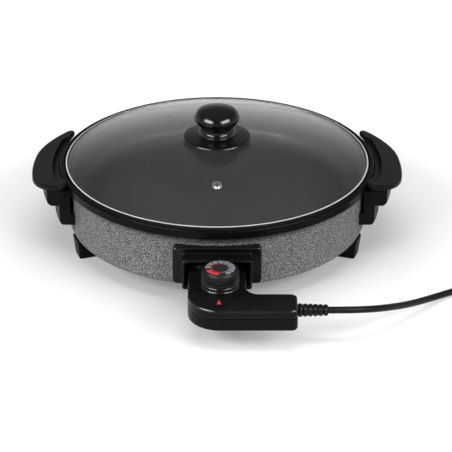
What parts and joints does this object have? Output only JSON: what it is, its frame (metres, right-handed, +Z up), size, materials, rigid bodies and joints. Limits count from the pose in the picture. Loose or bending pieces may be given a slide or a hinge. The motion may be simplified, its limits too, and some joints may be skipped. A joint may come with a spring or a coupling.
{
  "type": "electric casserole",
  "caption": "Round electric casserole with a loose domed glass lid, side handles, feet and a plug-in dial thermostat at the front on a mains cord.",
  "frame": {"origin": "the pan's axis at the table", "axes": "+Z up, the thermostat towards -Y, the handles along X"},
  "size_m": [0.6065, 0.453, 0.1615],
  "materials": {
    "pan_coat": "black and dark grey non-stick coat on aluminium",
    "hammered_grey": "hammered speckled lacquer on steel",
    "plain_steel": "plain sheet steel and zinc-plated fasteners",
    "element_sheath": "heat-tinted steel sheath",
    "ceramic": "unglazed ceramic",
    "contact_brass": "plain brass",
    "satin_black": "satin black phenolic",
    "lid_glass": "clear tempered glass",
    "bright_steel": "polished stainless steel",
    "gloss_black": "glossy black phenolic",
    "case_black": "semi-gloss black moulding",
    "red_lens": "clear red",
    "lamp_glass": "small neon bulb",
    "dial_print": "black disc with a printed scale",
    "silicone": "silicone",
    "cord_black": "black flexible PVC",
    "wire_colours": "insulated wires",
    "plug_metal": "nickel-plated brass"
  },
  "bodies": {
    "cooker": {"inner_pan": "pan_coat", "outer_shell": "hammered_grey", "base_plate": "plain_steel", "heat_reflector": "plain_steel", "tie_stud": "plain_steel", "tie_nut": "plain_steel", "heating_element": "element_sheath", "element_clips": "plain_steel", "connector_bracket": "plain_steel", "pin_beads": "ceramic", "power_pins": "contact_brass", "earth_pin": "contact_brass", "probe_socket": "plain_steel", "connector_guard": "satin_black", "guard_screws": "plain_steel", "handle_right": "satin_black", "handle_left": "satin_black", "handle_screws": "plain_steel", "handle_nuts": "plain_steel", "foot_back_right": "satin_black", "foot_back_left": "satin_black", "foot_front_left": "satin_black", "foot_front_right": "satin_black", "foot_screws": "plain_steel", "foot_nuts": "plain_steel"},
    "lid": {"lid_glass": "lid_glass", "lid_ring": "bright_steel", "vent_eyelet": "bright_steel", "knob_gasket": "silicone", "knob_base": "gloss_black", "lid_knob": "gloss_black", "knob_washer": "plain_steel", "knob_screw": "plain_steel"},
    "controller": {"case_upper": "case_black", "case_lower": "case_black", "case_screws": "plain_steel", "pointer_lens": "red_lens", "pilot_lamp": "lamp_glass", "power_sleeves": "contact_brass", "earth_sleeve": "contact_brass", "contact_block": "ceramic", "live_strip": "contact_brass", "bimetal_blade": "plain_steel", "contact_blade": "contact_brass", "sensor_probe": "plain_steel", "shaft_bush": "contact_brass", "cord_grip": "case_black", "cord_grip_screws": "plain_steel", "strain_relief": "cord_black", "cord_tail": "cord_black", "inner_wires": "wire_colours", "cord_lead": "cord_black", "cord_coil": "cord_black", "cord_tie": "cord_black", "plug_body": "cord_black", "plug_pins": "plug_metal", "plug_earth_clips": "plug_metal"},
    "dial": {"dial_knob": "case_black", "dial_face": "dial_print", "dial_shaft": "plain_steel"}
  },
  "joints": [
    {"name": "lid_lift", "type": "slide", "parent": "cooker", "child": "lid", "axis": [0, 0, 1], "range_m": [0, 0.15]},
    {"name": "controller_pull", "type": "slide", "parent": "cooker", "child": "controller", "axis": [0, -1, 0], "range_m": [0, 0.1]},
    {"name": "dial_turn", "type": "hinge", "parent": "controller", "child": "dial", "pos_m": [0.0033, -0.2165, 0.06], "axis": [0, 0, -1], "range_deg": [0, 290]}
  ]
}
